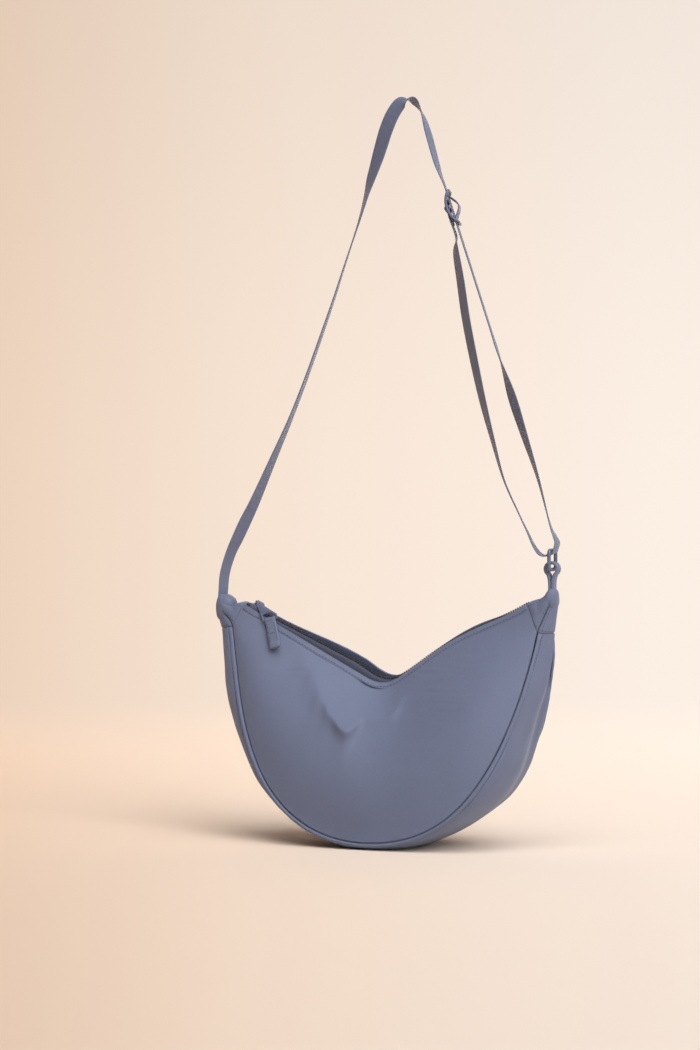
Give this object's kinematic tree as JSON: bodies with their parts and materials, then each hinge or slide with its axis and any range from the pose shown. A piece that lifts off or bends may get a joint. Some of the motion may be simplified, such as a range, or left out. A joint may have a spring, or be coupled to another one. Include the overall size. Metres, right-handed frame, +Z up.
{
  "type": "shoulder bag",
  "caption": "Crescent shoulder bag with a dipped zip mouth, deep curved side band and base, and a long adjustable webbing strap with ring and slider.",
  "frame": {"origin": "middle of the flat patch of the base, on the floor", "axes": "+X to the right with the zip pull at the left, -Y to the front, +Z up towards the strap"},
  "size_m": [0.3459, 0.1102, 0.7012],
  "materials": {
    "shell_cloth": "smooth dense woven cloth with a slight sheen",
    "trim_cloth": "same cloth, folded and topstitched",
    "lining_cloth": "thin plain woven lining",
    "zip_tape_cloth": "knitted zip tape",
    "zip_plastic": "satin coil",
    "hardware_paint": "satin coat in the cloth's colour",
    "strap_webbing": "smooth tight webbing"
  },
  "bodies": {
    "bag": {"front_panel": "shell_cloth", "back_panel": "shell_cloth", "gusset": "shell_cloth", "front_welt": "shell_cloth", "back_welt": "shell_cloth", "front_hem": "shell_cloth", "back_hem": "shell_cloth", "front_zip_tape": "zip_tape_cloth", "back_zip_tape": "zip_tape_cloth", "front_zip_teeth": "zip_plastic", "back_zip_teeth": "zip_plastic", "front_lining": "lining_cloth", "back_lining": "lining_cloth", "gusset_lining": "lining_cloth", "left_cap_front": "trim_cloth", "left_cap_side": "trim_cloth", "left_cap_back": "trim_cloth", "left_cap_top": "trim_cloth", "left_strap_tab": "trim_cloth", "right_cap_front": "trim_cloth", "right_cap_side": "trim_cloth", "right_cap_back": "trim_cloth", "right_cap_top": "trim_cloth", "right_loop_tab": "trim_cloth"},
    "zip_slider": {"zip_slider_body": "hardware_paint"},
    "pull_link": {"pull_link": "hardware_paint"},
    "pull_tab": {"pull_tab": "trim_cloth"},
    "strap": {"strap": "strap_webbing", "strap_return": "strap_webbing", "ring_loop": "trim_cloth"},
    "ring": {"strap_ring": "hardware_paint"},
    "adjuster": {"strap_adjuster": "hardware_paint", "strap_end_loop": "strap_webbing"}
  },
  "joints": [
    {"name": "zip_slide", "type": "slide", "parent": "bag", "child": "zip_slider", "axis": [0.9056, 0, -0.4242], "range_m": [0, 0.098]},
    {"name": "link_turn", "type": "hinge", "parent": "zip_slider", "child": "pull_link", "pos_m": [-0.12803, 0, 0.22447], "axis": [0.9056, 0, -0.4242], "range_deg": [-150, 0]},
    {"name": "tab_turn", "type": "hinge", "parent": "pull_link", "child": "pull_tab", "pos_m": [-0.113, -0.01225, 0.20997], "axis": [0.9659, 0, 0.2588], "range_deg": [-100, 0]},
    {"name": "strap_swing", "type": "hinge", "parent": "bag", "child": "strap", "pos_m": [-0.1674, 0, 0.237], "axis": [0.9995, 0, 0.0317], "range_deg": [-90, 90]},
    {"name": "ring_rock", "type": "hinge", "parent": "strap", "child": "ring", "pos_m": [0.164, 0, 0.27725], "axis": [0, 1, 0], "range_deg": [-5, 5]},
    {"name": "adjuster_slide", "type": "slide", "parent": "strap", "child": "adjuster", "axis": [0.3173, 0, -0.9483], "range_m": [0, 0.11], "deforming": ["strap_return"]}
  ]
}
